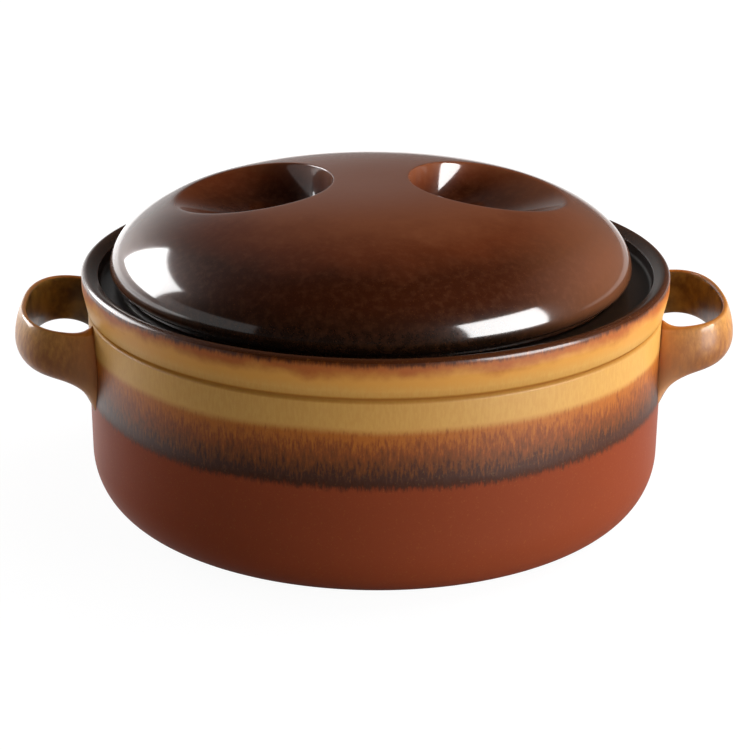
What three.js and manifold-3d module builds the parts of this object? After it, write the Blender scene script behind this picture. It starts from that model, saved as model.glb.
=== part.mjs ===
// Covered casserole dish in glazed stoneware: a round pot with a stepped rim, two strap
// handles luted to its wall, and a loose domed lid gripped by the bridge between two scoops.
// Millimetres, +Z up. The origin is on the table, on the pot's axis, with a handle on +X and -X.
import * as THREE from 'three';
import { mergeVertices } from 'three/addons/utils/BufferGeometryUtils.js';
import Module from 'manifold-3d';

const wasm = await Module();
wasm.setup();

// Pot, outside
const potHeight = 98;
const wallRadius = 118.5;
const wallFullestHeight = 48;
const cornerWidth = 16.1;
const cornerHeight = 21.2;
const neckInset = 0.6;
const grooveBelowRim = 16;
const grooveWidth = 2.6;
const grooveDepth = 0.9;
const bandFootInset = 0.1;
const bandHeight = 8;
const rimOverhang = 1.5;
const lipRound = 2.4;

// Pot, foot ring
const footRingWidth = 8;
const footRecess = 2.5;
const footRecessSlope = 2;

// Pot, inside
const potWall = 8;
const floorThickness = 8;
const innerCornerRadius = 18;

// Rim's dished top and the gallery that carries the lid
const rimWidth = 6.7;
const rimDish = 2.3;
const galleryDepth = 7;
const galleryLean = 0.5;
const galleryFillet = 1.5;
const ledgeWidth = 14.3;
const ledgeNose = 1.8;
const ledgeUnderSlope = 15;

// Lid
const lidSideGap = 6.4;
const lidWaist = 7;
const lidUndercut = 4.5;
const lidFootEdge = 1.2;
const domeRise = 33.1;
const lidWall = 6.5;
const ringDepth = 6.3;
const ringWidth = 4.5;
const ringRound = 1.4;
const hollowStep = 4;

// How the lid stands in its seat
const seatGap = 0.3;
const lidPlay = 2;

// Scoops for finger and thumb, one on each side of the lid's bridge
const bridgeHalfWidth = 15.4;
const scoopToLidEdge = 26.4;
const scoopSetBack = 3;
const scoopHalfWidth = 34.7;
const scoopDeepestToBridge = 21;
const scoopFloorHeight = 21.5;
const scoopWall = 6;
const creaseBlend = 1.2;
const bulgeBlend = 5;

// Strap handles
const loopOffset = 6.5;
const loopHalfReach = 18.9;
const loopHalfWidth = 35.7;
const strapBelowRim = 18.2;
const strapHeight = 19.2;
const strapThickness = 3;
const strapBelly = 2.2;
const rootDrop = 14;
const rootDropLength = 6;
const rootFlare = 2.4;
const rootFlareLength = 3;
const rootGap = 0.3;

// Numbers of facets. turnSteps is a multiple of four, so that the halves of the lid meet.
const turnSteps = 72;
const cornerSteps = 7;
const edgeSteps = 3;
const bridgeSteps = 14;
const scoopRingSteps = 7;
const domeRingSteps = 5;
const shoulderSteps = 6;
const undersideRingSteps = 8;
const strapSteps = 34;
const strapSectionSteps = 14;

// Powers that shape the dome, the scoops' floors and the strap's section
const domePlanPower = 2.98;
const domeRisePower = 1.83;
const rampPower = 1.7;
const bridgePower = 6;
const strapEndPower = 0.52;
const strapFacePower = 0.4;

// How much of the way in from the lid's edge to the scoop is its shoulder
const shoulderShare = 0.7;

// The strap rises outwards at this slope, its outer face is fuller below by this share, and its
// loop turns this far to run into the wall
const strapSlopeShare = 0.15;
const bellyLowShare = 0.6;
const rootTurnDegrees = 142;

const rimRadius = wallRadius + rimOverhang;
const neckRadius = wallRadius - neckInset;
const bandFootRadius = wallRadius - bandFootInset;
const grooveHeight = potHeight - grooveBelowRim;
const innerRadius = wallRadius - potWall;
const footOuterRadius = wallRadius - cornerWidth;
const footInnerRadius = footOuterRadius - footRingWidth;
const rimInnerRadius = rimRadius - rimWidth;
const galleryRadius = rimInnerRadius - galleryLean;
const ledgeRadius = galleryRadius - ledgeWidth;
const ledgeHeight = potHeight - galleryDepth;
const ledgeUnderHeight = ledgeHeight - 2 * ledgeNose;
const lidRadius = galleryRadius - lidSideGap;
const lidFootRadius = lidRadius - lidUndercut;
const ringRadius = ledgeRadius - lidPlay - seatGap;
const ringInnerRadius = ringRadius - ringWidth;
const hollowRise = lidWaist + domeRise - lidWall - hollowStep;
const scoopHalfLength = (lidRadius - scoopToLidEdge - bridgeHalfWidth) / 2;
const scoopCentre = bridgeHalfWidth + scoopHalfLength;
const scoopDeepest = bridgeHalfWidth + scoopDeepestToBridge;
const shoulderWidth = scoopToLidEdge * shoulderShare;
const loopCentre = wallRadius + loopOffset;
const strapTopHeight = potHeight - strapBelowRim;

// The lid's two skins, each a dome with the scoops pressed in, the inner one grown by the wall
const outerSkin = {
  radius: lidRadius, base: lidWaist, rise: domeRise, growth: 0, blend: creaseBlend,
};
const innerSkin = {
  radius: ringInnerRadius, base: hollowStep, rise: hollowRise, growth: scoopWall, blend: bulgeBlend,
};

const glaze = {
  pot: new THREE.MeshStandardMaterial({ color: 0x9c5a2c, roughness: 0.4, metalness: 0 }),
  handle: new THREE.MeshStandardMaterial({ color: 0x7d4c24, roughness: 0.3, metalness: 0 }),
  lid: new THREE.MeshStandardMaterial({ color: 0x4a2415, roughness: 0.22, metalness: 0 }),
};

const radians = THREE.MathUtils.degToRad;

// Points of an elliptical arc in the profile plane, x out from the axis and y up
function arc(x, y, radiusX, radiusY, fromDegrees, toDegrees, steps) {
  const points = [];
  for (let k = 0; k <= steps; k += 1) {
    const angle = radians(fromDegrees + ((toDegrees - fromDegrees) * k) / steps);
    points.push(new THREE.Vector2(x + radiusX * Math.cos(angle), y + radiusY * Math.sin(angle)));
  }
  return points;
}

// A round edge of one radius in the profile plane
function roundEdge(x, y, radius, fromDegrees, toDegrees) {
  return arc(x, y, radius, radius, fromDegrees, toDegrees, edgeSteps);
}

function at(x, y) {
  return [new THREE.Vector2(x, y)];
}

// Revolves a profile about the Z axis
function turned(points) {
  return new THREE.LatheGeometry(points, turnSteps).rotateX(Math.PI / 2);
}

// Outside of the pot from its foot to the crest of its lip, grown outwards by a clearance
function potOutside(clearance) {
  const grooveTop = grooveHeight + grooveWidth / 2;
  const points = [
    ...arc(footOuterRadius, cornerHeight, cornerWidth, cornerHeight, -90, 0, cornerSteps),
    ...at(wallRadius, wallFullestHeight),
    ...at(neckRadius, grooveHeight - grooveWidth / 2),
    ...at(neckRadius - grooveDepth, grooveHeight),
    ...at(bandFootRadius, grooveTop),
    ...at(rimRadius, grooveTop + bandHeight),
    ...roundEdge(rimRadius - lipRound, potHeight - lipRound, lipRound, 0, 90),
  ];
  return points.map((point) => new THREE.Vector2(point.x + clearance, point.y));
}

// Whole profile of the pot: under the foot, up the outside, over the rim, down the gallery,
// under the ledge, down the inner wall and in over the floor
function potProfile() {
  const floorCorner = innerRadius - innerCornerRadius;
  return [
    ...at(0, footRecess),
    ...at(footInnerRadius - footRecessSlope, footRecess),
    ...at(footInnerRadius, 0),
    ...potOutside(0),
    ...at(rimInnerRadius, potHeight - rimDish),
    ...roundEdge(galleryRadius - galleryFillet, ledgeHeight + galleryFillet, galleryFillet, 0, -90),
    ...roundEdge(ledgeRadius + ledgeNose, ledgeHeight - ledgeNose, ledgeNose, 90, 225),
    ...at(innerRadius, ledgeUnderHeight - ledgeUnderSlope),
    ...arc(floorCorner, floorThickness + innerCornerRadius,
      innerCornerRadius, innerCornerRadius, 0, -90, cornerSteps),
    ...at(0, floorThickness),
  ];
}

// Skin over a stack of rings that all run the same way round, as a flat list of triangle
// corners. An end is closed by a point where one is given.
function skinOver(rings, firstPoint, lastPoint) {
  const corners = [];
  const count = rings[0].length;
  const last = rings[rings.length - 1];
  for (let j = 0; j < count; j += 1) {
    const next = (j + 1) % count;
    if (firstPoint) {
      corners.push(firstPoint, rings[0][j], rings[0][next]);
    }
    for (let k = 1; k < rings.length; k += 1) {
      const from = rings[k - 1];
      const to = rings[k];
      corners.push(from[j], to[j], to[next], from[j], to[next], from[next]);
    }
    if (lastPoint) {
      corners.push(last[j], lastPoint, last[next]);
    }
  }
  return corners;
}

// One closed geometry with shared vertices from a flat list of triangle corners
function geometryFrom(corners) {
  const geometry = mergeVertices(new THREE.BufferGeometry().setFromPoints(corners));
  geometry.computeVertexNormals();
  return geometry;
}

// A point on a circle about the Z axis, counted in facets from the +X side
function onCircle(radius, height, step) {
  const angle = (2 * Math.PI * step) / turnSteps;
  return new THREE.Vector3(radius * Math.cos(angle), radius * Math.sin(angle), height);
}

function circle(radius, height) {
  const ring = [];
  for (let step = 0; step < turnSteps; step += 1) {
    ring.push(onCircle(radius, height, step));
  }
  return ring;
}

// Height over the lid's foot of a flattened dome: (r / radius)^p + (z / rise)^q = 1 over its base
function domeHeight(skin, distance) {
  const reach = Math.min(distance / skin.radius, 1);
  return skin.base + skin.rise * (1 - reach ** domePlanPower) ** (1 / domeRisePower);
}

// The lower of two heights, rounded where they cross
function softLower(first, second, blend) {
  return (first + second - Math.hypot(first - second, blend)) / 2;
}

// How far out from its deepest point a place lies in the scoop, as a share of the way to the
// scoop's oval outline along the same line
function wayOut(x, y, growth) {
  const halfLength = scoopHalfLength + growth;
  const start = (scoopDeepest - scoopCentre) / halfLength;
  const alongX = (x - scoopDeepest) / halfLength;
  const alongY = (y - scoopSetBack) / (scoopHalfWidth + growth);
  const cross = start * alongX;
  const room = 1 - start ** 2;
  return (Math.sqrt(cross ** 2 + (alongX ** 2 + alongY ** 2) * room) + cross) / room;
}

// Height of one skin over the lid's foot: the dome or the scoop's floor, the lower of the two.
// The floor climbs from the deepest point to the outer dome at the outline as a power of the
// way out: a gentle ramp on the lid's outer side and a steep wall under the bridge.
function skinHeight(skin, x, y) {
  const side = Math.abs(x);
  const out = wayOut(side, y, skin.growth);
  const edgeX = scoopDeepest + (out > 0 ? (side - scoopDeepest) / out : 0);
  const edgeY = scoopSetBack + (out > 0 ? (y - scoopSetBack) / out : 0);
  const towardsBridge = (1 - (edgeX - scoopCentre) / (scoopHalfLength + skin.growth)) / 2;
  const power = rampPower + (bridgePower - rampPower) * towardsBridge ** 2;
  const deepest = scoopFloorHeight - skin.growth;
  const climb = domeHeight(outerSkin, Math.hypot(edgeX, edgeY)) - deepest;
  const dome = domeHeight(skin, Math.hypot(x, y));
  return softLower(dome, deepest + climb * out ** power, skin.blend);
}

function skinPoint(skin, x, y) {
  return new THREE.Vector3(x, y, skinHeight(skin, x, y));
}

// The edge of the +X half of a skin: round its shoulder, then back along the middle line
function halfEdge(radius) {
  const targets = [];
  for (let step = -turnSteps / 4; step <= turnSteps / 4; step += 1) {
    targets.push(onCircle(radius, 0, step));
  }
  for (let k = 1; k < bridgeSteps; k += 1) {
    targets.push(new THREE.Vector3(0, radius * (1 - (2 * k) / bridgeSteps), 0));
  }
  return targets;
}

// Rings of the +X half of a skin about the deepest point of its scoop. sharesFor gives the
// shares at which the rings cross the line out to a place on the half's edge.
function halfRings(skin, sharesFor) {
  const columns = halfEdge(skin.radius - shoulderWidth).map((target) => {
    const shares = sharesFor(target);
    return shares.map((share) => {
      const x = scoopDeepest + (target.x - scoopDeepest) * share;
      return skinPoint(skin, x, scoopSetBack + (target.y - scoopSetBack) * share);
    });
  });
  return columns[0].map((point, k) => columns.map((column) => column[k]));
}

// The scoop's outline is itself a ring, with the closest rings beside it, so its crease is clean
function outerShares(target) {
  const edgeShare = 1 / wayOut(target.x, target.y, outerSkin.growth);
  const shares = [];
  for (let k = 1; k <= scoopRingSteps; k += 1) {
    shares.push(edgeShare * Math.sin((Math.PI / 2) * (k / scoopRingSteps)));
  }
  for (let k = 1; k <= domeRingSteps; k += 1) {
    shares.push(1 - (1 - edgeShare) * Math.cos((Math.PI / 2) * (k / domeRingSteps)));
  }
  return shares;
}

function innerShares() {
  const shares = [];
  for (let k = 1; k <= undersideRingSteps; k += 1) {
    shares.push(Math.sin((Math.PI / 2) * (k / undersideRingSteps)));
  }
  return shares;
}

// Full circles of a skin from its shoulder to its widest, closest where it is steepest
function shoulderRings(skin) {
  const rings = [];
  for (let k = 0; k <= shoulderSteps; k += 1) {
    const inset = shoulderWidth * (1 - Math.sin((Math.PI / 2) * (k / shoulderSteps)));
    const ring = circle(skin.radius - inset, 0);
    rings.push(ring.map((point) => skinPoint(skin, point.x, point.y)));
  }
  return rings;
}

// The other half's rings, which run the same way round
function mirrored(rings) {
  const flip = (point) => new THREE.Vector3(-point.x, point.y, point.z);
  return rings.map((ring) => ring.map(flip).reverse());
}

// From under the lid's widest circle, down round its foot, in over the seat and round the
// locating ring
function lidEdgeProfile() {
  const ringRoundHeight = ringRound - ringDepth;
  const tuck = arc(lidFootRadius, lidWaist, lidUndercut, lidWaist - 2 * lidFootEdge, 0, -90, edgeSteps);
  return [
    ...tuck.slice(1),
    ...at(lidFootRadius, lidFootEdge),
    ...at(lidFootRadius - lidFootEdge, 0),
    ...at(ringRadius, 0),
    ...roundEdge(ringRadius - ringRound, ringRoundHeight, ringRound, 0, -90),
    ...roundEdge(ringInnerRadius + ringRound, ringRoundHeight, ringRound, 270, 180),
  ];
}

// A point on the strap's skin. Along the loop, turn is 0 at the outermost point, and around
// goes round the section: flat on the finger side, bellied outside, round at both edges.
function strapPoint(turn, around) {
  const pathX = loopCentre + loopHalfReach * Math.cos(turn);
  const pathY = loopHalfWidth * Math.sin(turn);
  const outward = new THREE.Vector2(loopHalfWidth * Math.cos(turn), loopHalfReach * Math.sin(turn));
  outward.normalize();
  const fromWall = Math.max(Math.hypot(pathX, pathY) - wallRadius, 0);
  const flare = rootFlare * Math.exp(-fromWall / rootFlareLength);
  const drop = rootDrop * Math.exp(-fromWall / rootDropLength);
  const top = strapTopHeight + strapSlopeShare * (pathX - loopCentre);
  const half = (strapHeight + drop) / 2;
  const up = Math.sign(Math.sin(around)) * Math.abs(Math.sin(around)) ** strapEndPower;
  const side = Math.sign(Math.cos(around)) * Math.abs(Math.cos(around)) ** strapFacePower;
  const belly = side > 0 ? strapBelly * (1 - up * up) * (1 - bellyLowShare * up) : 0;
  const out = belly + side * (strapThickness / 2 + flare);
  return new THREE.Vector3(pathX + outward.x * out, pathY + outward.y * out, top - half + up * half);
}

function middleOf(ring) {
  const sum = ring.reduce((total, point) => total.add(point), new THREE.Vector3());
  return sum.divideScalar(ring.length);
}

// The loop of one handle, long enough at both ends to run into the pot's wall
function strapGeometry() {
  const rings = [];
  for (let k = 0; k <= strapSteps; k += 1) {
    const turn = radians(rootTurnDegrees * ((2 * k) / strapSteps - 1));
    const ring = [];
    for (let j = 0; j < strapSectionSteps; j += 1) {
      ring.push(strapPoint(turn, (2 * Math.PI * (j + 0.5)) / strapSectionSteps));
    }
    rings.push(ring);
  }
  return geometryFrom(skinOver(rings, middleOf(rings[0]), middleOf(rings[strapSteps])));
}

// A closed three.js geometry as a solid that can be cut
function solidOf(geometry) {
  const bare = geometry.clone();
  bare.deleteAttribute('normal');
  bare.deleteAttribute('uv');
  const merged = mergeVertices(bare);
  const corners = Array.from(merged.index.array);
  const kept = [];
  for (let k = 0; k < corners.length; k += 3) {
    const [a, b, c] = corners.slice(k, k + 3);
    if (a !== b && b !== c && c !== a) {
      kept.push(a, b, c);
    }
  }
  const vertProperties = new Float32Array(merged.attributes.position.array);
  const mesh = new wasm.Mesh({ numProp: 3, vertProperties, triVerts: new Uint32Array(kept) });
  return new wasm.Manifold(mesh);
}

function geometryOf(solid) {
  const mesh = solid.getMesh();
  const geometry = new THREE.BufferGeometry();
  geometry.setAttribute('position', new THREE.BufferAttribute(mesh.vertProperties, 3));
  geometry.setIndex(new THREE.BufferAttribute(mesh.triVerts, 1));
  geometry.computeVertexNormals();
  return geometry;
}

function named(name, geometry, material) {
  const mesh = new THREE.Mesh(geometry, material);
  mesh.name = name;
  return mesh;
}

function makePot() {
  return named('pot', turned(potProfile()), glaze.pot);
}

// The strap's ends are cut to the wall's curve, a hair off it
function makeHandle(name, direction) {
  const wallBlank = turned([...at(0, 0), ...potOutside(rootGap), ...at(0, potHeight)]);
  const loop = solidOf(strapGeometry()).subtract(solidOf(wallBlank));
  const handle = named(name, geometryOf(loop), glaze.handle);
  handle.rotation.z = direction > 0 ? 0 : Math.PI;
  return handle;
}

// An even shell whose two scoops show as bulges on its underside. Each skin is two mirrored halves
// that meet on the bridge's middle line. Full circles join them round the shoulder and the foot.
function makeLid() {
  const above = halfRings(outerSkin, outerShares);
  const below = halfRings(innerSkin, innerShares).reverse();
  const top = skinPoint(outerSkin, scoopDeepest, scoopSetBack);
  const bottom = skinPoint(innerSkin, scoopDeepest, scoopSetBack);
  const edge = [
    ...shoulderRings(outerSkin),
    ...lidEdgeProfile().map((point) => circle(point.x, point.y)),
    ...shoulderRings(innerSkin).reverse(),
  ];
  const geometry = geometryFrom([
    ...skinOver(above, top),
    ...skinOver(mirrored(above), mirrored([[top]])[0][0]),
    ...skinOver(edge),
    ...skinOver(below, null, bottom),
    ...skinOver(mirrored(below), null, mirrored([[bottom]])[0][0]),
  ]);
  const lid = named('lid', geometry, glaze.lid);
  lid.position.set(-lidPlay, 0, ledgeHeight + seatGap);
  return lid;
}

const casserole = new THREE.Group();
casserole.add(makePot());
casserole.add(makeHandle('handle_left', -1));
casserole.add(makeHandle('handle_right', 1));
casserole.add(makeLid());

export default casserole;
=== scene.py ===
"""Covered stoneware casserole: the glazed surfaces, a soft studio and the camera.

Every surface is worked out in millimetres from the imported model's boxes and a few named sizes,
and is put into its mesh in metres.
"""

import bmesh
import bpy
import numpy as np
from mathutils import Matrix, Vector


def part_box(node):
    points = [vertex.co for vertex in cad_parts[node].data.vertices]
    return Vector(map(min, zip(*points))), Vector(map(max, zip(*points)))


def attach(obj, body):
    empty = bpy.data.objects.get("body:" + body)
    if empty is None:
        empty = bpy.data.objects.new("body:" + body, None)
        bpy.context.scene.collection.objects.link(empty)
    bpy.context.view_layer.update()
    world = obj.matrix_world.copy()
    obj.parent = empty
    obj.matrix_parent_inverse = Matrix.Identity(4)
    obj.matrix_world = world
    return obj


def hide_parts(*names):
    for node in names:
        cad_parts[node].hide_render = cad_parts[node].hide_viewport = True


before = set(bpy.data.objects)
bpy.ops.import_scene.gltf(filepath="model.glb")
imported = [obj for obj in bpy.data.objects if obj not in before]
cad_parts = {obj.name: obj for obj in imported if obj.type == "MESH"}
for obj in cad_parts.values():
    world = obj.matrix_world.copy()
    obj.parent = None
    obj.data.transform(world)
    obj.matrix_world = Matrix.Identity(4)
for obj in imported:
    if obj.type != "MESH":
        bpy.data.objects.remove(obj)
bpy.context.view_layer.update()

MM = 0.001


def box_in_mm(node):
    """Lowest and highest corner of a node of the frame, in millimetres."""
    low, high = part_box(node)
    return np.array(low) / MM, np.array(high) / MM


# Pot, from the frame's box and in the same named sizes as the solids
POT_HIGH = box_in_mm("pot")[1]
POT_HEIGHT = POT_HIGH[2]
RIM_RADIUS = POT_HIGH[0]
RIM_OVERHANG = 1.5
WALL_RADIUS = RIM_RADIUS - RIM_OVERHANG
WALL_FULLEST_HEIGHT = 48
WALL_ROUND = 200
CORNER_WIDTH = 16.1
CORNER_HEIGHT = 21.2
ABOVE_CORNER = 1
NECK_RADIUS = WALL_RADIUS - 0.6
GROOVE_HEIGHT = POT_HEIGHT - 16.0
GROOVE_WIDTH = 2.6
GROOVE_DEPTH = 0.9
GROOVE_EDGE_ROUND = 0.9
GROOVE_FLOOR_ROUND = 0.8
BAND_FOOT_RADIUS = WALL_RADIUS - 0.1
BAND_HEIGHT = 8
BAND_FOOT_ROUND = 1.6
BAND_ROUND = 9
LIP_ROUND = 2.4
FOOT_RING_WIDTH = 8
FOOT_RING_ROUND = 0.6
FOOT_RECESS = 2.5
FOOT_RECESS_SLOPE = 2
FOOT_RECESS_ROUND = 1.2
POT_WALL = 8
FLOOR_THICKNESS = 8
INNER_CORNER_RADIUS = 18
RIM_WIDTH = 6.7
RIM_DISH = 2.3
RIM_EDGE_ROUND = 0.7
GALLERY_DEPTH = 7
GALLERY_LEAN = 0.5
GALLERY_FILLET = 1.5
LEDGE_WIDTH = 14.3
LEDGE_NOSE = 1.8
LEDGE_UNDER_SLOPE = 15
LEDGE_UNDER_ROUND = 12
RIM_INNER_RADIUS = RIM_RADIUS - RIM_WIDTH
GALLERY_RADIUS = RIM_INNER_RADIUS - GALLERY_LEAN
LEDGE_RADIUS = GALLERY_RADIUS - LEDGE_WIDTH
LEDGE_HEIGHT = POT_HEIGHT - GALLERY_DEPTH

# Lid. Heights of its skins are over its foot.
LID_LOW, LID_HIGH = box_in_mm("lid")
LID_MIDDLE = (LID_LOW[0] + LID_HIGH[0]) / 2
SEAT_GAP = 0.3
LID_FOOT_HEIGHT = LEDGE_HEIGHT + SEAT_GAP
LID_RADIUS = GALLERY_RADIUS - 6.4
LID_WAIST = 7
LID_FOOT_RADIUS = LID_RADIUS - 4.5
LID_FOOT_EDGE = 1.2
DOME_RISE = 33.1
LID_WALL = 6.5
RING_DEPTH = 6.3
RING_RADIUS = LEDGE_RADIUS - 2.3
RING_INNER_RADIUS = RING_RADIUS - 4.5
RING_ROUND = 1.4
SEAT_FILLET = 0.8
HOLLOW_STEP = 4
BRIDGE_HALF_WIDTH = 15.4
SCOOP_TO_LID_EDGE = 26.4
SCOOP_SET_BACK = 3
SCOOP_HALF_WIDTH = 34.7
SCOOP_FLOOR_HEIGHT = 21.5
SCOOP_WALL = 6
BRIDGE_CREASE_BLEND = 0.9
RAMP_CREASE_BLEND = 1.0
BULGE_BLEND = 5
SCOOP_HALF_LENGTH = (LID_RADIUS - SCOOP_TO_LID_EDGE - BRIDGE_HALF_WIDTH) / 2
SCOOP_CENTRE = BRIDGE_HALF_WIDTH + SCOOP_HALF_LENGTH
SCOOP_DEEPEST = BRIDGE_HALF_WIDTH + 17
SHOULDER_WIDTH = 0.7 * SCOOP_TO_LID_EDGE

# Strap handles
LOOP_CENTRE = WALL_RADIUS + 6.5
LOOP_HALF_REACH = 18.9
LOOP_HALF_WIDTH = 35.7
STRAP_TOP_HEIGHT = POT_HEIGHT - 18.2
STRAP_HEIGHT = 19.2
STRAP_THICKNESS = 3
STRAP_BELLY = 2.2
STRAP_SLOPE = 0.15
BELLY_LOW_SHARE = 0.6
ROOT_DROP = 14.5
ROOT_DROP_LENGTH = 4.9
ROOT_FLARE = 4.2
ROOT_FLARE_LENGTH = 6.5
ROOT_PINCH = 4.6
ROOT_PINCH_LENGTH = 2.2
ROOT_RISE = 2.6
ROOT_RISE_LENGTH = 2.6
ROOT_TURN = np.radians(134)

# Powers that shape the dome, the scoops' floors and the strap's section
DOME_PLAN_POWER = 2.98
DOME_RISE_POWER = 1.83
RAMP_POWER = 1.7
BRIDGE_POWER = 10
STRAP_END_POWER = 0.52
LOOP_POWER = 0.84
STRAP_FACE_POWER = 0.65

# How fine the surfaces are
TURN_STEPS = 320
ARC_STEPS = 8
CORNER_STEPS = 28
TUCK_STEPS = 16
SCOOP_STEPS = 50
BESIDE_SCOOP_STEPS = 32
SHOULDER_STEPS = 32
UNDERSIDE_STEPS = 36
MIDDLE_LINE_STEPS = 96
LOOP_STEPS = 240
SECTION_STEPS = 96
LONGEST_STEP = 3.0

# Below these a corner is straight, a side has no length, a scoop's middle is reached, and two
# points are one
STRAIGHT_TURN = 1e-4
SHORTEST_SIDE = 1e-6
SMALLEST_WAY_OUT = 1e-9
MERGE_DISTANCE = 0.002

# How far below the rim's dish and below the floor the glaze's marks still reach
RIM_MARGIN = 1
FLOOR_MARGIN = 0.5

# Studio light levels, where 1 is white
FILL_LEVEL = 0.12
ROOM_LEVEL = 0.02
BACKDROP_LEFT = 1.0
BACKDROP_RIGHT = 0.11
TABLE_LEVEL = 1.8
TABLE_RIGHT_LEVEL = 0.3 * TABLE_LEVEL
TABLE_WHITE = 1.08
TABLE_COLOUR = (0.8, 0.8, 0.8, 1)
SHADOW_SHARE = 0.12

# Backdrop in gloss: parts of the ray's direction between which its level changes
ROOM_TO_BACKDROP = (0, 0.7)
BACKDROP_FOOT_TO_TOP = (0, 0.6)
BACKDROP_TOP_SHARE = 0.1
BACKDROP_LEFT_TO_RIGHT = (-0.5, 0.25)

# Table: its size, and the places between which its level changes, in metres
TABLE_HALF_WIDTH = 4.0
TABLE_SLANT = -0.1
TABLE_DIM_TO_PALE = (-0.16, 0.12)
TABLE_LEFT_TO_RIGHT = (-0.1, 0.6)
SHADOW_TO_WHITE = (0.1, 0.5)

# Lamps, in metres from a point on the dish's axis that they all face. Each has a name, a compass
# direction and an elevation in degrees, a width and height, watts, and whether it shows in gloss.
LAMP_DISTANCE = 1.3
LAMP_AIM_HEIGHT = 0.08
LAMPS = [
    ("highlight_right", -35, 12.5, 0.88, 0.86, 40, True),
    ("highlight_left", 149, 20.5, 0.84, 0.6, 18.5, True),
    ("glow_left", 195, 4, 1.2, 0.7, 1.3, True),
    ("light_right", -25, 10, 1.1, 0.6, 14.2, False),
    ("light_behind", 25, 30, 1.0, 0.7, 15.5, False),
    ("light_above", 20, 62, 0.9, 0.9, 3, False),
    ("light_left", 142, 11, 1.0, 0.6, 11, False),
]

# Camera over the table, fitted to the photograph, in metres and degrees
CAMERA_DISTANCE = 0.750
CAMERA_HEIGHT = 0.335
CAMERA_AZIMUTH = 3.0
CAMERA_PITCH = 21.03
CAMERA_ROLL = 0.4
CAMERA_LENS = 91.68


def arc(centre, radii, from_degrees, to_degrees, steps):
    """Points of an elliptical arc in the profile plane: centre + radii * (cos, sin)."""
    angles = np.radians(np.linspace(from_degrees, to_degrees, steps + 1))
    return np.stack([centre[0] + radii[0] * np.cos(angles), centre[1] + radii[1] * np.sin(angles)], 1)


def rounded(corners):
    """A polyline through corners (r, z, radius), each of which becomes an arc of its radius.

    An arc starts and ends where it touches both sides, at radius * tan(half the turn) from the
    corner, and its centre lies on the line that halves the corner.
    """
    places = np.array(corners, float)[:, :2]
    radii = np.array(corners, float)[1:, 2]
    pieces = [places[:1]]
    for before, corner, after, radius in zip(places, places[1:], places[2:], radii):
        inward = (before - corner) / np.linalg.norm(before - corner)
        outward = (after - corner) / np.linalg.norm(after - corner)
        half_turn = (np.pi - np.arccos(np.clip(inward @ outward, -1, 1))) / 2
        if radius == 0 or half_turn < STRAIGHT_TURN:
            pieces.append(corner[None])
            continue
        middle = (inward + outward) / np.linalg.norm(inward + outward)
        centre = corner + middle * radius / np.cos(half_turn)
        start = corner + inward * radius * np.tan(half_turn) - centre
        end = corner + outward * radius * np.tan(half_turn) - centre
        share = np.linspace(0, 1, ARC_STEPS + 1)[:, None]
        slerp = np.sin((1 - share) * 2 * half_turn) * start + np.sin(share * 2 * half_turn) * end
        pieces.append(centre + slerp / np.sin(2 * half_turn))
    pieces.append(places[-1:])
    return np.vstack(pieces)


def with_short_steps(points):
    """The same polyline with even points added wherever a side is longer than LONGEST_STEP."""
    pieces = [points[:1]]
    for start, end in zip(points, points[1:]):
        length = np.linalg.norm(end - start)
        if length > SHORTEST_SIDE:
            count = int(np.ceil(length / LONGEST_STEP))
            share = np.arange(1, count + 1)[:, None] / count
            pieces.append(start + (end - start) * share)
    return np.vstack(pieces)


def pot_profile():
    """Half section of the pot, out from under the foot, up, over the rim and in to the floor."""
    foot_radius = WALL_RADIUS - CORNER_WIDTH
    groove_top = GROOVE_HEIGHT + GROOVE_WIDTH / 2
    ledge_apex = LEDGE_RADIUS - LEDGE_NOSE
    inner_radius = WALL_RADIUS - POT_WALL
    ledge_under = LEDGE_HEIGHT - 2 * LEDGE_NOSE - LEDGE_UNDER_SLOPE
    foot = rounded([
        (0, FOOT_RECESS, 0),
        (foot_radius - FOOT_RING_WIDTH - FOOT_RECESS_SLOPE, FOOT_RECESS, FOOT_RECESS_ROUND),
        (foot_radius - FOOT_RING_WIDTH, 0, FOOT_RING_ROUND),
        (foot_radius, 0, 0),
    ])
    corner_radii = (CORNER_WIDTH, CORNER_HEIGHT)
    corner = arc((foot_radius, CORNER_HEIGHT), corner_radii, -90, 0, CORNER_STEPS)
    upper = rounded([
        (WALL_RADIUS, CORNER_HEIGHT + ABOVE_CORNER, 0),
        (WALL_RADIUS, WALL_FULLEST_HEIGHT, WALL_ROUND),
        (NECK_RADIUS, GROOVE_HEIGHT - GROOVE_WIDTH / 2, GROOVE_EDGE_ROUND),
        (NECK_RADIUS - GROOVE_DEPTH, GROOVE_HEIGHT, GROOVE_FLOOR_ROUND),
        (BAND_FOOT_RADIUS, groove_top, BAND_FOOT_ROUND),
        (RIM_RADIUS, groove_top + BAND_HEIGHT, BAND_ROUND),
        (RIM_RADIUS, POT_HEIGHT, LIP_ROUND),
        (RIM_INNER_RADIUS - LIP_ROUND / 2, POT_HEIGHT, 0),
    ])[:-1]
    inside = rounded([
        (*upper[-1], 0),
        (RIM_INNER_RADIUS, POT_HEIGHT - RIM_DISH, RIM_EDGE_ROUND),
        (GALLERY_RADIUS, LEDGE_HEIGHT, GALLERY_FILLET),
        (ledge_apex, LEDGE_HEIGHT, LEDGE_NOSE),
        (inner_radius, ledge_under, LEDGE_UNDER_ROUND),
        (inner_radius, FLOOR_THICKNESS, INNER_CORNER_RADIUS),
        (0, FLOOR_THICKNESS, 0),
    ])
    return with_short_steps(np.vstack([foot, corner[1:], upper, inside[1:]]))


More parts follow.
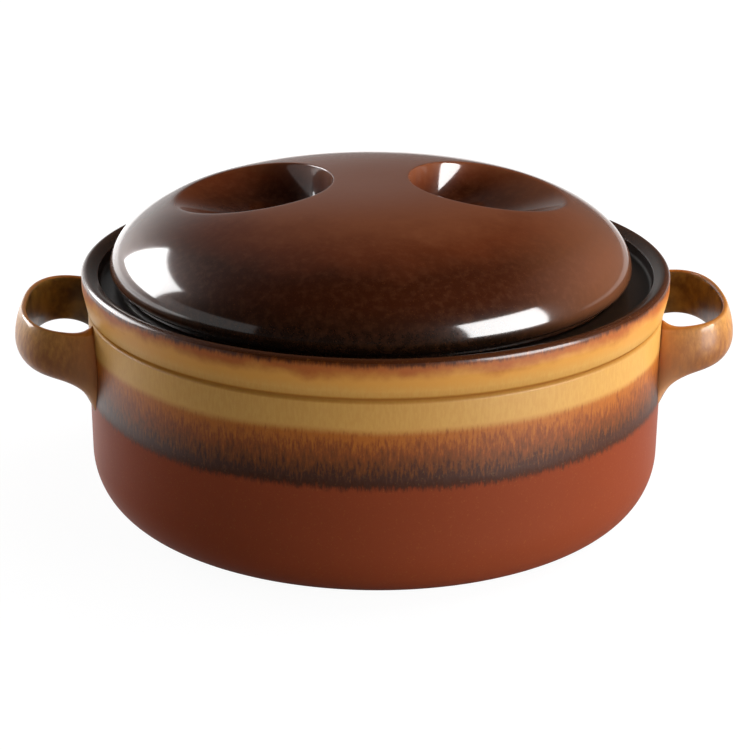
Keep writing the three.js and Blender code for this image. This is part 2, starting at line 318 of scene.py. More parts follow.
def revolved(profile):
    """Rings of a turned surface: each profile point (r, z) goes round the Z axis once."""
    angles = np.arange(TURN_STEPS) * 2 * np.pi / TURN_STEPS
    x = profile[:, :1] * np.cos(angles)
    y = profile[:, :1] * np.sin(angles)
    z = np.repeat(profile[:, 1:], TURN_STEPS, axis=1)
    return np.stack([x, y, z], 2)


def faces_between(ring_count, point_count):
    """Quads between neighbouring rings, each ring closed on itself, as an index array."""
    ring = np.arange(ring_count - 1)[:, None] * point_count
    here = np.arange(point_count)[None]
    beside = (here + 1) % point_count
    quads = [ring + here, ring + point_count + here, ring + point_count + beside, ring + beside]
    return np.stack(quads, 2).reshape(-1, 4)


def skin(rings):
    """Points and quads of a stack of rings."""
    return rings.reshape(-1, 3), faces_between(rings.shape[0], rings.shape[1])


def piece_from(name, skins, material, body, node):
    """One closed mesh from several skins whose shared edges are merged, facing outwards.

    It rides on a body, stands for a node of the solids and wears the material of a slot.
    """
    points = np.vstack([part[0] for part in skins])
    offsets = np.cumsum([0] + [len(part[0]) for part in skins[:-1]])
    faces = np.vstack([part[1] + offset for part, offset in zip(skins, offsets)])
    mesh = bpy.data.meshes.new(name)
    mesh.from_pydata((points * MM).tolist(), [], faces.tolist())
    shape = bmesh.new()
    shape.from_mesh(mesh)
    bmesh.ops.remove_doubles(shape, verts=shape.verts, dist=MERGE_DISTANCE * MM)
    bmesh.ops.recalc_face_normals(shape, faces=shape.faces)
    shape.to_mesh(mesh)
    shape.free()
    mesh.shade_smooth()
    mesh.materials.append(material)
    piece = bpy.data.objects.new(name, mesh)
    bpy.context.scene.collection.objects.link(piece)
    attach(piece, body)
    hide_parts(node)
    return piece


def positions(mesh):
    """Vertex positions of a mesh in millimetres, one row each."""
    flat = np.empty(len(mesh.vertices) * 3)
    mesh.vertices.foreach_get("co", flat)
    return flat.reshape(-1, 3) / MM


def store(mesh, name, values):
    """Keeps one number for each vertex, for the glaze to read."""
    attribute = mesh.attributes.new(name, "FLOAT", "POINT")
    attribute.data.foreach_set("value", np.asarray(values, np.float32))


def dome_height(distance, radius, base, rise):
    """Height of a flattened dome over its base: (r / radius)^p + (z / rise)^q = 1."""
    reach = np.clip(distance / radius, 0, 1)
    return base + rise * (1 - reach**DOME_PLAN_POWER) ** (1 / DOME_RISE_POWER)


def outer_dome(distance):
    """The flattened dome of the lid's top."""
    return dome_height(distance, LID_RADIUS, LID_WAIST, DOME_RISE)


def inner_dome(distance):
    """The flattened dome over the lid's hollow, a wall's thickness under the top in the middle."""
    rise = LID_WAIST + DOME_RISE - LID_WALL - HOLLOW_STEP
    return dome_height(distance, RING_INNER_RADIUS, HOLLOW_STEP, rise)


def way_out(x, y, growth):
    """Share of the way from a scoop's deepest point to its oval outline along the same line.

    The outline is an ellipse about the scoop's centre, growth wider all round. The share solves
    the quadratic equation that puts the point on it, once drawn out from the deepest by 1 / share.
    """
    half_length = SCOOP_HALF_LENGTH + growth
    start = (SCOOP_DEEPEST - SCOOP_CENTRE) / half_length
    along_x = (x - SCOOP_DEEPEST) / half_length
    along_y = (y - SCOOP_SET_BACK) / (SCOOP_HALF_WIDTH + growth)
    cross = start * along_x
    room = 1 - start**2
    return (np.sqrt(cross**2 + (along_x**2 + along_y**2) * room) + cross) / room


def skin_height(x, y, dome, growth, ramp_blend, bridge_blend):
    """The lower of a dome and the scoop's floor, rounded where they cross.

    The floor climbs from the deepest point to the outer dome at the outline as a power of the
    way out, small on the ramp and large on the steep wall under the bridge. The crossing is
    rounded by one blend at the ramp's end, by another at the bridge, and evenly between. Of two
    heights a and b the rounded lower one is (a + b - hypot(a - b, blend)) / 2.
    """
    side = np.abs(x)
    out = np.maximum(way_out(side, y, growth), SMALLEST_WAY_OUT)
    edge_x = SCOOP_DEEPEST + (side - SCOOP_DEEPEST) / out
    edge_y = SCOOP_SET_BACK + (y - SCOOP_SET_BACK) / out
    towards_bridge = (1 - (edge_x - SCOOP_CENTRE) / (SCOOP_HALF_LENGTH + growth)) / 2
    power = RAMP_POWER + (BRIDGE_POWER - RAMP_POWER) * towards_bridge**2
    deepest = SCOOP_FLOOR_HEIGHT - growth
    floor = deepest + (outer_dome(np.hypot(edge_x, edge_y)) - deepest) * out**power
    top = dome(np.hypot(x, y))
    blend = ramp_blend + (bridge_blend - ramp_blend) * towards_bridge
    return (top + floor - np.hypot(top - floor, blend)) / 2


def half_rings(radius, shares_for, height):
    """Rings of the +X half of a skin about its scoop's deepest point, out to the half's edge.

    The edge goes round the shoulder circle, then back along the middle line. A ring crosses the
    line to each place on the edge at the share of it that shares_for gives.
    """
    angles = np.radians(np.linspace(-90, 90, TURN_STEPS // 2 + 1))
    across = np.linspace(1, -1, MIDDLE_LINE_STEPS + 1)[1:-1]
    edge_x = np.concatenate([radius * np.cos(angles), np.zeros(len(across))])
    edge_y = np.concatenate([radius * np.sin(angles), radius * across])
    # Both ends of the half circle lie exactly on the middle line
    edge_x[[0, TURN_STEPS // 2]] = 0
    shares = shares_for(edge_x, edge_y)
    x = SCOOP_DEEPEST + (edge_x - SCOOP_DEEPEST) * shares
    y = SCOOP_SET_BACK + (edge_y - SCOOP_SET_BACK) * shares
    return np.stack([x, y, height(x, y)], 2)


def crowded(steps):
    """Shares from 0 to 1 that lie closest towards 1: the sine of even steps of a quarter turn."""
    return np.sin(np.pi / 2 * np.linspace(0, 1, steps + 1))


def outer_shares(edge_x, edge_y):
    """Shares for the top: the outline is a ring itself, with the closest rings beside it."""
    outline = 1 / way_out(edge_x, edge_y, 0)
    inside = crowded(SCOOP_STEPS)[:, None] * outline
    beyond = 1 - (1 - outline) * crowded(BESIDE_SCOOP_STEPS)[-2::-1, None]
    return np.vstack([inside, beyond])


def inner_shares(edge_x, edge_y):
    """Shares for the underside, closest towards the edge."""
    return crowded(UNDERSIDE_STEPS)[:, None] * np.ones_like(edge_x)


def shoulder_rings(radius, height):
    """Full circles of a skin from its shoulder to its widest, closest where it is steepest."""
    inset = SHOULDER_WIDTH * (1 - crowded(SHOULDER_STEPS))
    rings = revolved(np.stack([radius - inset, inset], 1))
    rings[:, :, 2] = height(rings[:, :, 0], rings[:, :, 1])
    return rings


def lid_edge():
    """Profile under the lid's widest circle, round its foot, over the seat and the ring."""
    foot_and_seat = rounded([
        (LID_FOOT_RADIUS, 2 * LID_FOOT_EDGE, 0),
        (LID_FOOT_RADIUS, 0, LID_FOOT_EDGE),
        (RING_RADIUS, 0, SEAT_FILLET),
        (RING_RADIUS, -RING_DEPTH, RING_ROUND),
        (RING_INNER_RADIUS, -RING_DEPTH, RING_ROUND),
        (RING_INNER_RADIUS, HOLLOW_STEP, 0),
    ])
    radii = (LID_RADIUS - LID_FOOT_RADIUS, LID_WAIST - 2 * LID_FOOT_EDGE)
    tuck = arc((LID_FOOT_RADIUS, LID_WAIST), radii, 0, -90, TUCK_STEPS)
    return with_short_steps(np.vstack([tuck[1:-1], foot_and_seat[:-1]]))


def lid_skins():
    """The lid's top and underside, each as two alike halves, and the circles that join them."""

    def top_height(x, y):
        return skin_height(x, y, outer_dome, 0, RAMP_CREASE_BLEND, BRIDGE_CREASE_BLEND)

    def under_height(x, y):
        return skin_height(x, y, inner_dome, SCOOP_WALL, BULGE_BLEND, BULGE_BLEND)

    mirror = np.array([-1, 1, 1])
    top = half_rings(LID_RADIUS - SHOULDER_WIDTH, outer_shares, top_height)
    under = half_rings(RING_INNER_RADIUS - SHOULDER_WIDTH, inner_shares, under_height)
    edge = np.vstack([
        shoulder_rings(LID_RADIUS, top_height),
        revolved(lid_edge()),
        shoulder_rings(RING_INNER_RADIUS, under_height)[::-1],
    ])
    place = np.array([LID_MIDDLE, 0, LID_FOOT_HEIGHT])
    stacks = [top, top * mirror, edge, under, under * mirror]
    return [skin(rings + place) for rings in stacks]


def signed_power(value, power):
    """A power of the size of each value, with the value's own sign."""
    return np.sign(value) * np.abs(value) ** power


def loop_place(turn):
    """Middle of the strap in plan, on a superellipse whose two reaches are raised to one power."""
    x = LOOP_CENTRE + LOOP_HALF_REACH * signed_power(np.cos(turn), LOOP_POWER)
    return x, LOOP_HALF_WIDTH * signed_power(np.sin(turn), LOOP_POWER)


def strap_points(turn, around):
    """Points on the strap's skin, over turn along the loop and around its section.

    The path is a superellipse in plan. The section is a superellipse with a bellied outer face.
    Its height and thickness grow by an exponential towards the wall. Close to the wall shorter
    ones pinch the thickness in again and raise the upper edge.
    """
    path_x, path_y = loop_place(turn)
    out_x = LOOP_HALF_WIDTH * signed_power(np.cos(turn), 2 - LOOP_POWER)
    out_y = LOOP_HALF_REACH * signed_power(np.sin(turn), 2 - LOOP_POWER)
    length = np.hypot(out_x, out_y)
    from_wall = np.maximum(np.hypot(path_x, path_y) - WALL_RADIUS, 0)
    flare = ROOT_FLARE * np.exp(-from_wall / ROOT_FLARE_LENGTH)
    flare = flare - ROOT_PINCH * np.exp(-from_wall / ROOT_PINCH_LENGTH)
    drop = ROOT_DROP * np.exp(-from_wall / ROOT_DROP_LENGTH)
    rise = ROOT_RISE * np.exp(-from_wall / ROOT_RISE_LENGTH)
    top = STRAP_TOP_HEIGHT + STRAP_SLOPE * (path_x - LOOP_CENTRE) + rise
    half = (STRAP_HEIGHT + drop + rise) / 2
    up = signed_power(np.sin(around), STRAP_END_POWER)
    side = signed_power(np.cos(around), STRAP_FACE_POWER)
    belly = np.where(side > 0, STRAP_BELLY * (1 - up**2) * (1 - BELLY_LOW_SHARE * up), 0)
    out = belly + side * (STRAP_THICKNESS / 2 + flare)
    x = path_x + out_x / length * out
    y = path_y + out_y / length * out
    return np.stack([x, y, top - half + up * half], 2)


def strap_rings(direction):
    """One strap as a stack of section rings, each end closed inside the wall."""
    turn = np.linspace(-ROOT_TURN, ROOT_TURN, LOOP_STEPS + 1)[:, None]
    around = np.linspace(0, 2 * np.pi, SECTION_STEPS, endpoint=False)[None]
    rings = strap_points(turn, around) * np.array([direction, direction, 1])
    first = np.repeat(rings[:1].mean(1, keepdims=True), rings.shape[1], axis=1)
    last = np.repeat(rings[-1:].mean(1, keepdims=True), rings.shape[1], axis=1)
    return np.vstack([first, rings, last])


class Shading:
    """Short calls that add and link the nodes of one material or world."""

    def __init__(self, tree):
        self.tree = tree
        self.nodes = tree.nodes

    def put(self, socket, value):
        """Links a socket to another one, or sets its plain value."""
        if isinstance(value, bpy.types.NodeSocket):
            self.tree.links.new(value, socket)
        else:
            socket.default_value = value

    def put_all(self, sockets, settings):
        """Links or sets several sockets of a node by their names."""
        for name, value in settings.items():
            self.put(sockets[name], value)

    def coordinates(self, system):
        """The X, Y and Z outputs of a system of coordinates, such as Object."""
        split = self.nodes.new("ShaderNodeSeparateXYZ")
        self.put(split.inputs[0], self.nodes.new("ShaderNodeTexCoord").outputs[system])
        return split.outputs

    def math(self, operation, first, second=0.0, clamp=False):
        """One arithmetic step on two values, kept from 0 to 1 where clamp is set."""
        node = self.nodes.new("ShaderNodeMath")
        node.operation = operation
        node.use_clamp = clamp
        self.put(node.inputs[0], first)
        self.put(node.inputs[1], second)
        return node.outputs[0]

    def plus(self, first, second):
        """Sum of two values."""
        return self.math("ADD", first, second)

    def times(self, first, second):
        """Product of two values."""
        return self.math("MULTIPLY", first, second)

    def spread(self, value, low, high, start=0.0, end=1.0):
        """Goes smoothly from start to end while the value goes from low to high."""
        node = self.nodes.new("ShaderNodeMapRange")
        node.interpolation_type = "SMOOTHSTEP"
        limits = {"From Min": low, "From Max": high, "To Min": start, "To Max": end}
        self.put_all(node.inputs, {"Value": value, **limits})
        return node.outputs["Result"]

    def blend(self, share, first, second):
        """The first value where the share is 0, the second where it is 1."""
        node = self.nodes.new("ShaderNodeMix")
        self.put_all(node.inputs, {"Factor": share, "A": first, "B": second})
        return node.outputs["Result"]


class Glaze(Shading):
    """A material under construction, with patterns in millimetres and screen colours."""

    def __init__(self, name):
        self.material = bpy.data.materials.new(name)
        self.material.use_nodes = True
        super().__init__(self.material.node_tree)
        self.shader = self.nodes["Principled BSDF"]

    def coordinate(self, axis):
        """One coordinate of the place in millimetres: X to the right, Z over the table."""
        return self.math("DIVIDE", self.coordinates("Object")[axis], MM)

    def attribute(self, name):
        """A number that the mesh keeps for each vertex."""
        node = self.nodes.new("ShaderNodeAttribute")
        node.attribute_name = name
        return node.outputs["Fac"]

    def noise(self, grain, stretch=(1, 1, 1), detail=3, roughness=0.55):
        """Noise from 0 to 1 whose grain is this many millimetres, longer where stretch is more."""
        mapping = self.nodes.new("ShaderNodeMapping")
        self.put_all(mapping.inputs, {
            "Vector": self.nodes.new("ShaderNodeTexCoord").outputs["Object"],
            "Scale": [1 / (grain * MM * share) for share in stretch],
        })
        node = self.nodes.new("ShaderNodeTexNoise")
        settings = {"Scale": 1, "Detail": detail, "Roughness": roughness}
        self.put_all(node.inputs, {"Vector": mapping.outputs[0], **settings})
        return node.outputs["Fac"]

    def shifted(self, value, noise, amount):
        """A value moved by minus to plus half of an amount as the noise goes from 0 to 1."""
        return self.plus(value, self.times(self.math("SUBTRACT", noise, 0.5), amount))

    def ramp(self, value, stops):
        """Colours by value: stops is a list of (value, colour), linear between them."""
        low, high = stops[0][0], stops[-1][0]
        share = self.math("DIVIDE", self.math("SUBTRACT", value, low), high - low)
        node = self.nodes.new("ShaderNodeValToRGB")
        self.put(node.inputs["Fac"], share)
        elements = node.color_ramp.elements
        while len(elements) < len(stops):
            elements.new(1)
        for element, (level, colour) in zip(elements, stops):
            element.position = (level - low) / (high - low)
            element.color = linear(colour)
        return node.outputs["Color"]

    def mix(self, share, first, second):
        """The first colour where the share is 0, the second where it is 1."""
        node = self.nodes.new("ShaderNodeMix")
        node.data_type = "RGBA"
        self.put(node.inputs["Factor"], share)
        for name, colour in (("A", first), ("B", second)):
            is_output = isinstance(colour, bpy.types.NodeSocket)
            self.put(node.inputs[name], colour if is_output else linear(colour))
        return [socket for socket in node.outputs if socket.type == "RGBA"][0]

    def bump(self, height, depth):
        """Relief of this many millimetres between heights 0 and 1."""
        node = self.nodes.new("ShaderNodeBump")
        self.put_all(node.inputs, {"Height": height, "Distance": depth * MM})
        self.put(self.shader.inputs["Normal"], node.outputs["Normal"])

    def finish(self, colour, roughness, specular, ior, coat):
        """Colour and gloss of the glaze under a clear coat, and the weight of that coat."""
        self.put_all(self.shader.inputs, {
            "Base Color": colour,
            "Roughness": roughness,
            "Specular IOR Level": specular,
            "IOR": ior,
            "Coat Weight": coat,
            "Coat Roughness": COAT_ROUGHNESS,
            "Coat IOR": COAT_IOR,
        })
        return self.material


def linear(colour):
    """A screen colour, 0 to 255, as the linear values that a shader takes."""
    share = np.array(colour) / 255
    value = np.where(share <= 0.04045, share / 12.92, ((share + 0.055) / 1.055) ** 2.4)
    return [*value.tolist(), 1.0]


# Glaze colours, as they show on a screen
RUST = (137, 62, 34)
SLATE = (73, 37, 20)
DARK_STREAK = (112, 57, 12)
BROWN_STREAK = (140, 69, 12)
ORANGE_BROWN = (178, 98, 16)
OCHRE = (212, 160, 78)
OCHRE_WARM = (218, 152, 62)
# Painted shade: a darker brown along the groove stands in for the shade line under the rim band
GROOVE_PAINTED_SHADE = (150, 96, 42)
AMBER = (176, 92, 26)
RED_BROWN = (74, 34, 10)
RIM_BROWN = (66, 44, 30)
INSIDE_BROWN = (58, 32, 20)
# Painted shade: a darker brown in the gallery where the lid sits stands in for the shade in that
# recess
GALLERY_PAINTED_SHADE = (40, 28, 20)
BARE_CLAY = (196, 174, 146)
OLIVE_BROWN = (136, 102, 44)
FINGER_DARK = (80, 54, 20)
CREST_OCHRE = (196, 124, 52)
# Painted light: a pale tan stands in for the light falling on the strap roots at the wall
ROOT_PAINTED_LIGHT = (222, 160, 108)
CHOCOLATE_FOOT = (38, 21, 9)
CHOCOLATE_LOW = (54, 24, 8)
CHOCOLATE_DARK = (63, 26, 8)
CHOCOLATE = (98, 45, 20)
CHOCOLATE_TOP = (124, 68, 40)
CHOCOLATE_PALE = (150, 92, 60)
IRON_SPOT = (140, 78, 38)

# Colours by height over the table in millimetres
STREAKED_BAND = [(52, SLATE), (56.5, DARK_STREAK), (62, BROWN_STREAK), (68, ORANGE_BROWN)]
STRAP_BAND = [
    (44, (112, 68, 44)),
    (52, (112, 68, 42)),
    (60, (118, 70, 38)),
    (68, (148, 90, 42)),
    (75, (176, 116, 54)),
    (82, (206, 146, 70)),
]
LID_BAND = [
    (98, CHOCOLATE_FOOT),
    (106, CHOCOLATE_LOW),
    (111, CHOCOLATE_DARK),
    (118, CHOCOLATE_DARK),
    (124, CHOCOLATE),
    (129, CHOCOLATE_TOP),
]

# Heights over the table between which one finish passes into the next
RUST_TO_SLATE = (45.9, 48.9)
SATIN_TO_GLOSSY = (46, 52)
STREAKED_TO_OCHRE = (68, 71.5)
OCHRE_TO_WARM = (84, 90)

# The same by the way inwards over the lip's crest. Two marks stand for the parts inside.
OCHRE_TO_AMBER = (-8.5, -3)
AMBER_TO_RED_BROWN = (-3.6, -1)
SATIN_TO_LIP = (-3, -1)
OUTSIDE_TO_RIM = (-0.6, 1)
RIM_TO_GALLERY = (10, 20)
GALLERY_MARK = 50
GALLERY_TO_INSIDE = (60, 65)
INSIDE_MARK = 70

# Where the glazes change on the foot, the straps and the lid, where painted shade lies along the
# groove, and where painted light lies on the strap roots and on both sides of the lid
GROOVE_SHADE_RISE = 0.3
GROOVE_SHADE_HALF_WIDTH = 1.9
BARE_FOOT_HEIGHT = 0.3
FINGER_SIDE_BLEND = 1.6
CREST_DEPTH = 3
ROOT_LIGHT_LENGTH = 8
# Painted light on the lid: where it is least, and the sideways reach over which both sides grow paler
LID_LEAST_LIT_SIDEWAYS = -12
LID_FRONT_TO_LIT_SIDES = (50, 105)

# Grain of the patterns in the glazes
POT_STREAK_GRAIN = 1.0
POT_RUN_GRAIN = 2.6
POT_DRIFT_GRAIN = 60
POT_CLOUD_GRAIN = 14
POT_SPECKLE_GRAIN = 0.8
STRAP_STREAK_GRAIN = 2.0
STRAP_CLOUD_GRAIN = 9
LID_CLOUD_GRAIN = 22
LID_MOTTLE_GRAIN = 3
LID_SPECKLE_GRAIN = 0.6

# How far the patterns move the bands in all, from their lowest to their highest
DRIFT_REACH = 3
STREAK_REACH = 27
RUN_REACH = 5
OCHRE_FOOT_REACH = 3
SLATE_FOOT_REACH = 7
AMBER_REACH = 9
DRIP_REACH = 3
STRAP_STREAK_REACH = 32
LID_CLOUD_REACH = 9

# Height of the glazes' relief
POT_RELIEF = 0.12
STRAP_RELIEF = 0.08
LID_RELIEF = 0.15

# Clear coat
COAT_ROUGHNESS = 0.1
COAT_IOR = 1.6


def make_pot_glaze():
    """Bands by height: rust, slate, streaked brown and ochre, with a dark glaze inside.

    Noise moves the height, or the way inwards, at which each band starts. Painted shade darkens
    the groove and the gallery.
    """
    glaze = Glaze("banded_pot_glaze")
    from_lip = glaze.attribute("from_lip")
    in_groove = glaze.attribute("in_groove")
    streaks = glaze.noise(POT_STREAK_GRAIN, (1, 1, 4), detail=4, roughness=0.66)
    runs = glaze.noise(POT_RUN_GRAIN, (1, 1, 3))
    drift = glaze.noise(POT_DRIFT_GRAIN, detail=1)
    cloud = glaze.noise(POT_CLOUD_GRAIN, detail=4, roughness=0.6)
    speckle = glaze.noise(POT_SPECKLE_GRAIN, detail=2)

    height = glaze.shifted(glaze.coordinate("Z"), drift, DRIFT_REACH)
    streaked = glaze.shifted(glaze.shifted(height, streaks, STREAK_REACH), runs, RUN_REACH)
    ochre = glaze.mix(glaze.spread(streaks, 0.35, 0.65, end=0.16), OCHRE, ORANGE_BROWN)
    ochre_foot = glaze.shifted(height, streaks, OCHRE_FOOT_REACH)
    upper = glaze.ramp(streaked, STREAKED_BAND)
    upper = glaze.mix(glaze.spread(ochre_foot, *STREAKED_TO_OCHRE), upper, ochre)
    upper = glaze.mix(glaze.spread(ochre_foot, *OCHRE_TO_WARM), upper, OCHRE_WARM)
    # Painted shade along the groove
    upper = glaze.mix(in_groove, upper, GROOVE_PAINTED_SHADE)
    slate_foot = glaze.shifted(height, streaks, SLATE_FOOT_REACH)
    outside = glaze.mix(glaze.spread(slate_foot, *RUST_TO_SLATE), RUST, upper)
    mottle = glaze.shifted(from_lip, cloud, AMBER_REACH)
    outside = glaze.mix(glaze.spread(mottle, *OCHRE_TO_AMBER), outside, AMBER)
    drips = glaze.shifted(glaze.shifted(from_lip, streaks, DRIP_REACH), runs, DRIP_REACH)
    outside = glaze.mix(glaze.spread(drips, *AMBER_TO_RED_BROWN), outside, RED_BROWN)

    # Painted shade: the gallery is darker than the rest of the inside
    inside = glaze.mix(glaze.spread(from_lip, *RIM_TO_GALLERY), RIM_BROWN, GALLERY_PAINTED_SHADE)
    inside = glaze.mix(glaze.spread(from_lip, *GALLERY_TO_INSIDE), inside, INSIDE_BROWN)
    colour = glaze.mix(glaze.spread(from_lip, *OUTSIDE_TO_RIM), outside, inside)
    colour = glaze.mix(glaze.spread(speckle, 0.6, 0.72, end=0.08), colour, OCHRE)
    colour = glaze.mix(glaze.attribute("bare_foot"), colour, BARE_CLAY)

    lip = glaze.spread(from_lip, *SATIN_TO_LIP)
    lip = glaze.plus(lip, glaze.spread(from_lip, *RIM_TO_GALLERY, end=-0.6))
    rough = glaze.plus(glaze.times(lip, -0.2), 0.47)
    glossy = glaze.spread(slate_foot, *SATIN_TO_GLOSSY, start=0.06, end=0.32)
    beside_groove = glaze.math("ADD", glaze.times(in_groove, -2), 1, clamp=True)
    specular = glaze.times(glossy, beside_groove)
    glaze.bump(glaze.plus(glaze.times(cloud, 0.6), glaze.times(speckle, 0.1)), POT_RELIEF)
    return glaze.finish(colour, rough, specular, 1.5, glaze.times(lip, 0.25))


def make_handle_glaze():
    """Ochre above, brown below, olive-brown on the finger side, a glossy crest, and painted light in
    pale tan at the wall.
    """
    glaze = Glaze("streaked_handle_glaze")
    crest = glaze.attribute("crest")
    streaks = glaze.noise(STRAP_STREAK_GRAIN, (1, 1, 2.6), detail=5, roughness=0.66)
    cloud = glaze.noise(STRAP_CLOUD_GRAIN)
    height = glaze.shifted(glaze.coordinate("Z"), streaks, STRAP_STREAK_REACH)
    outside = glaze.ramp(height, STRAP_BAND)
    # Painted light on the strap roots
    outside = glaze.mix(glaze.times(glaze.attribute("root"), 0.95), outside, ROOT_PAINTED_LIGHT)
    inside = glaze.mix(glaze.spread(cloud, 0.3, 0.7), OLIVE_BROWN, FINGER_DARK)
    colour = glaze.mix(glaze.attribute("finger_side"), outside, inside)
    on_crest = glaze.spread(glaze.shifted(crest, cloud, 0.3), 0.7, 1)
    colour = glaze.mix(on_crest, colour, CREST_OCHRE)
    glaze.bump(cloud, STRAP_RELIEF)
    return glaze.finish(colour, 0.42, 0.2, 1.5, glaze.plus(glaze.times(crest, 0.66), 0.04))


def make_lid_glaze():
    """Chocolate brown, paler and clouded on top, nearly black at the foot, with painted light that
    pales both sides.
    """
    glaze = Glaze("chocolate_lid_glaze")
    cloud = glaze.noise(LID_CLOUD_GRAIN, detail=5, roughness=0.6)
    mottle = glaze.noise(LID_MOTTLE_GRAIN, detail=4, roughness=0.6)
    speckle = glaze.noise(LID_SPECKLE_GRAIN, detail=2)
    height = glaze.shifted(glaze.coordinate("Z"), cloud, LID_CLOUD_REACH)
    colour = glaze.ramp(height, LID_BAND)
    # Painted light: the glaze turns paler towards both sides of the lid
    sideways = glaze.math("SUBTRACT", glaze.coordinate("X"), LID_LEAST_LIT_SIDEWAYS)
    sides = glaze.spread(glaze.math("ABSOLUTE", sideways), *LID_FRONT_TO_LIT_SIDES, end=0.5)
    colour = glaze.mix(sides, colour, CHOCOLATE_PALE)
    colour = glaze.mix(glaze.spread(mottle, 0.42, 0.72, end=0.1), colour, CHOCOLATE_PALE)
    colour = glaze.mix(glaze.spread(speckle, 0.62, 0.72, end=0.22), colour, IRON_SPOT)
    rough = glaze.plus(glaze.times(mottle, 0.08), 0.34)
    glaze.bump(glaze.plus(cloud, glaze.times(mottle, 0.12)), LID_RELIEF)
    return glaze.finish(colour, rough, 0.05, 1.55, 1.0)


def make_pot():
    """The thrown pot. Its glaze reads how far each point lies inwards over the lip's crest.

    Outside that is minus the depth below the lip, and each part inside has a mark of its own.
    in_groove falls evenly from 1 on the groove's line to 0 beside it, and places the painted shade
    there. bare_foot is 1 where the foot ring stands on the table.
    """
    skins = [skin(revolved(pot_profile()))]
    pot = piece_from("thrown_pot", skins, make_pot_glaze(), "pot", "pot")
    at = positions(pot.data)
    height = at[:, 2]
    distance = np.hypot(at[:, 0], at[:, 1])
    crest = RIM_RADIUS - LIP_ROUND
    on_top = (distance < crest) & (height > POT_HEIGHT - RIM_DISH - RIM_MARGIN)
    inside = (distance < RIM_INNER_RADIUS) & (height > FLOOR_THICKNESS - FLOOR_MARGIN) & ~on_top
    from_lip = np.where(on_top, crest - distance, height - POT_HEIGHT)
    mark = np.where(height > LEDGE_HEIGHT - LEDGE_NOSE, GALLERY_MARK, INSIDE_MARK)
    store(pot.data, "from_lip", np.where(inside, mark, from_lip))
    from_groove = np.abs(height - GROOVE_HEIGHT - GROOVE_SHADE_RISE) / GROOVE_SHADE_HALF_WIDTH
    outside = distance > NECK_RADIUS - GROOVE_WIDTH
    store(pot.data, "in_groove", np.where(outside, np.clip(1 - from_groove, 0, 1), 0))
    store(pot.data, "bare_foot", (height < BARE_FOOT_HEIGHT) & (distance > RIM_RADIUS / 2))


def make_handle(name, node, direction, glaze):
    """A strap handle. Its glaze reads the finger side, the crest and the nearness of the wall.

    finger_side goes evenly from 0 to 1 across the strap's middle and crest up to its upper edge.
    root is an exponential of the way from the wall, and places the painted light there.
    """
    skins = [skin(strap_rings(direction))]
    handle = piece_from(name, skins, glaze, "pot", node)
    x, y, height = (positions(handle.data) * np.array([direction, direction, 1])).T
    across = signed_power(y / LOOP_HALF_WIDTH, 1 / LOOP_POWER)
    outwards = signed_power((x - LOOP_CENTRE) / LOOP_HALF_REACH, 1 / LOOP_POWER)
    path_x, path_y = loop_place(np.arctan2(across, outwards))
    from_path = np.hypot(x - LOOP_CENTRE, y) - np.hypot(path_x - LOOP_CENTRE, path_y)
    top = STRAP_TOP_HEIGHT + STRAP_SLOPE * (path_x - LOOP_CENTRE)
    from_wall = np.maximum(np.hypot(x, y) - WALL_RADIUS, 0)
    store(handle.data, "finger_side", np.clip(0.5 - from_path / FINGER_SIDE_BLEND, 0, 1))
    store(handle.data, "crest", np.clip(1 - (top - height) / CREST_DEPTH, 0, 1))
    store(handle.data, "root", np.exp(-from_wall / ROOT_LIGHT_LENGTH))


def make_world():
    """White for the camera. Glossy rays see a pale backdrop behind the dish, a dim room in front.

    The backdrop's level is the product of three smooth steps: in the depth, the height and the
    way to the right of the ray's direction.
    """
    world = bpy.data.worlds.new("studio")
    world.use_nodes = True
    shading = Shading(world.node_tree)
    rays = shading.nodes.new("ShaderNodeLightPath").outputs
    direction = shading.coordinates("Generated")
    behind = shading.spread(direction["Y"], *ROOM_TO_BACKDROP, ROOM_LEVEL, 1)
    low = shading.spread(direction["Z"], *BACKDROP_FOOT_TO_TOP, 1, BACKDROP_TOP_SHARE)
    sides = (*BACKDROP_LEFT_TO_RIGHT, BACKDROP_LEFT, BACKDROP_RIGHT)
    left = shading.spread(direction["X"], *sides)
    backdrop = shading.times(behind, shading.times(low, left))
    level = shading.blend(rays["Is Glossy Ray"], FILL_LEVEL, backdrop)
    seen = shading.math("MAXIMUM", rays["Is Camera Ray"], rays["Is Transmission Ray"])
    shading.put_all(shading.nodes["Background"].inputs, {
        "Color": (1, 1, 1, 1),
        "Strength": shading.blend(seen, level, 1.0),
    })
    bpy.context.scene.world = world


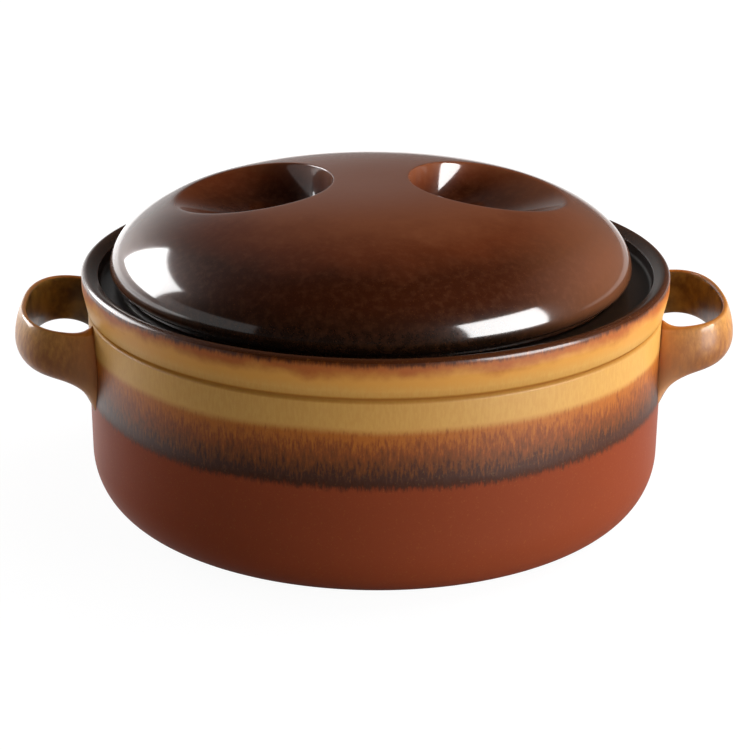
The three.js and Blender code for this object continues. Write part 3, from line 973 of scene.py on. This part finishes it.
def make_floor():
    """A wide white table that keeps a light shadow. In gloss it is pale behind, dim in front.

    The camera sees a share of its white light, rising smoothly to all of it away from the dish,
    and for the rest a matt white that takes the shadow.
    """
    half = TABLE_HALF_WIDTH
    corners = [(-half, -half, 0), (half, -half, 0), (half, half, 0), (-half, half, 0)]
    mesh = bpy.data.meshes.new("table_top")
    mesh.from_pydata(corners, [], [(0, 1, 2, 3)])
    material = bpy.data.materials.new("white_table")
    material.use_nodes = True
    shading = Shading(material.node_tree)
    nodes = shading.nodes
    nodes.remove(nodes["Principled BSDF"])
    rays = nodes.new("ShaderNodeLightPath").outputs
    place = shading.coordinates("Object")

    slanted = shading.plus(shading.times(place["X"], TABLE_SLANT), place["Y"])
    behind = shading.spread(slanted, *TABLE_DIM_TO_PALE, ROOM_LEVEL, 1)
    left = shading.spread(place["X"], *TABLE_LEFT_TO_RIGHT, TABLE_LEVEL, TABLE_RIGHT_LEVEL)
    level = shading.blend(rays["Is Glossy Ray"], TABLE_WHITE, shading.times(behind, left))
    squares = [shading.times(place[axis], place[axis]) for axis in "XY"]
    distance = shading.math("SQRT", shading.plus(*squares))
    lit = shading.spread(distance, *SHADOW_TO_WHITE, 1 - SHADOW_SHARE, 1)
    lit = shading.times(lit, rays["Is Camera Ray"])
    lit = shading.math("MAXIMUM", lit, rays["Is Glossy Ray"])

    matt = nodes.new("ShaderNodeBsdfDiffuse")
    shading.put(matt.inputs["Color"], TABLE_COLOUR)
    white = nodes.new("ShaderNodeEmission")
    shading.put(white.inputs["Strength"], level)
    both = nodes.new("ShaderNodeMixShader")
    for socket, value in zip(both.inputs, (lit, matt.outputs[0], white.outputs[0])):
        shading.put(socket, value)
    shading.put(nodes["Material Output"].inputs["Surface"], both.outputs[0])
    mesh.materials.append(material)
    floor = bpy.data.objects.new("table_top", mesh)
    bpy.context.scene.collection.objects.link(floor)


def add_softbox(name, azimuth, elevation, width, height, watts, in_gloss):
    """A rectangular lamp that faces the dish from a compass direction, in degrees from +X.

    It either shows as a highlight in the glaze or lights the glaze's colour.
    """
    lamp = bpy.data.lights.new(name, "AREA")
    lamp.shape = "RECTANGLE"
    lamp.size = width
    lamp.size_y = height
    lamp.energy = watts
    turn, rise = np.radians(azimuth), np.radians(elevation)
    aim = Vector((0, 0, LAMP_AIM_HEIGHT))
    away = Vector((np.cos(turn) * np.cos(rise), np.sin(turn) * np.cos(rise), np.sin(rise)))
    box = bpy.data.objects.new(name, lamp)
    box.location = aim + away * LAMP_DISTANCE
    box.visible_glossy = in_gloss
    box.visible_diffuse = not in_gloss
    box.rotation_euler = away.to_track_quat("Z", "Y").to_euler()
    bpy.context.scene.collection.objects.link(box)


def make_camera():
    """The photograph's view: turned about the axis, pitched down and rolled a little."""
    azimuth, pitch, roll = np.radians([CAMERA_AZIMUTH, CAMERA_PITCH, CAMERA_ROLL])
    across = np.array([np.cos(azimuth), -np.sin(azimuth), 0])
    ahead = np.array([np.sin(azimuth), np.cos(azimuth), 0]) * np.cos(pitch)
    ahead = ahead - np.array([0, 0, np.sin(pitch)])
    upright = np.cross(across, ahead)
    right = np.cos(roll) * across + np.sin(roll) * upright
    up = np.cos(roll) * upright - np.sin(roll) * across
    place = np.array([-np.sin(azimuth), -np.cos(azimuth), 0]) * CAMERA_DISTANCE
    place = place + np.array([0, 0, CAMERA_HEIGHT])
    data = bpy.data.cameras.new("camera")
    data.lens = CAMERA_LENS
    camera = bpy.data.objects.new("camera", data)
    axes = np.stack([right, up, -ahead], 1)
    camera.matrix_world = Matrix.Translation(place) @ Matrix(axes.tolist()).to_4x4()
    bpy.context.scene.collection.objects.link(camera)
    bpy.context.scene.camera = camera


make_pot()
handle_glaze = make_handle_glaze()
make_handle("strap_handle_left", "handle_left", -1, handle_glaze)
make_handle("strap_handle_right", "handle_right", 1, handle_glaze)
piece_from("domed_lid", lid_skins(), make_lid_glaze(), "lid", "lid")

make_world()
make_floor()
for lamp in LAMPS:
    add_softbox(*lamp)
make_camera()
bpy.context.scene.view_settings.view_transform = "Standard"
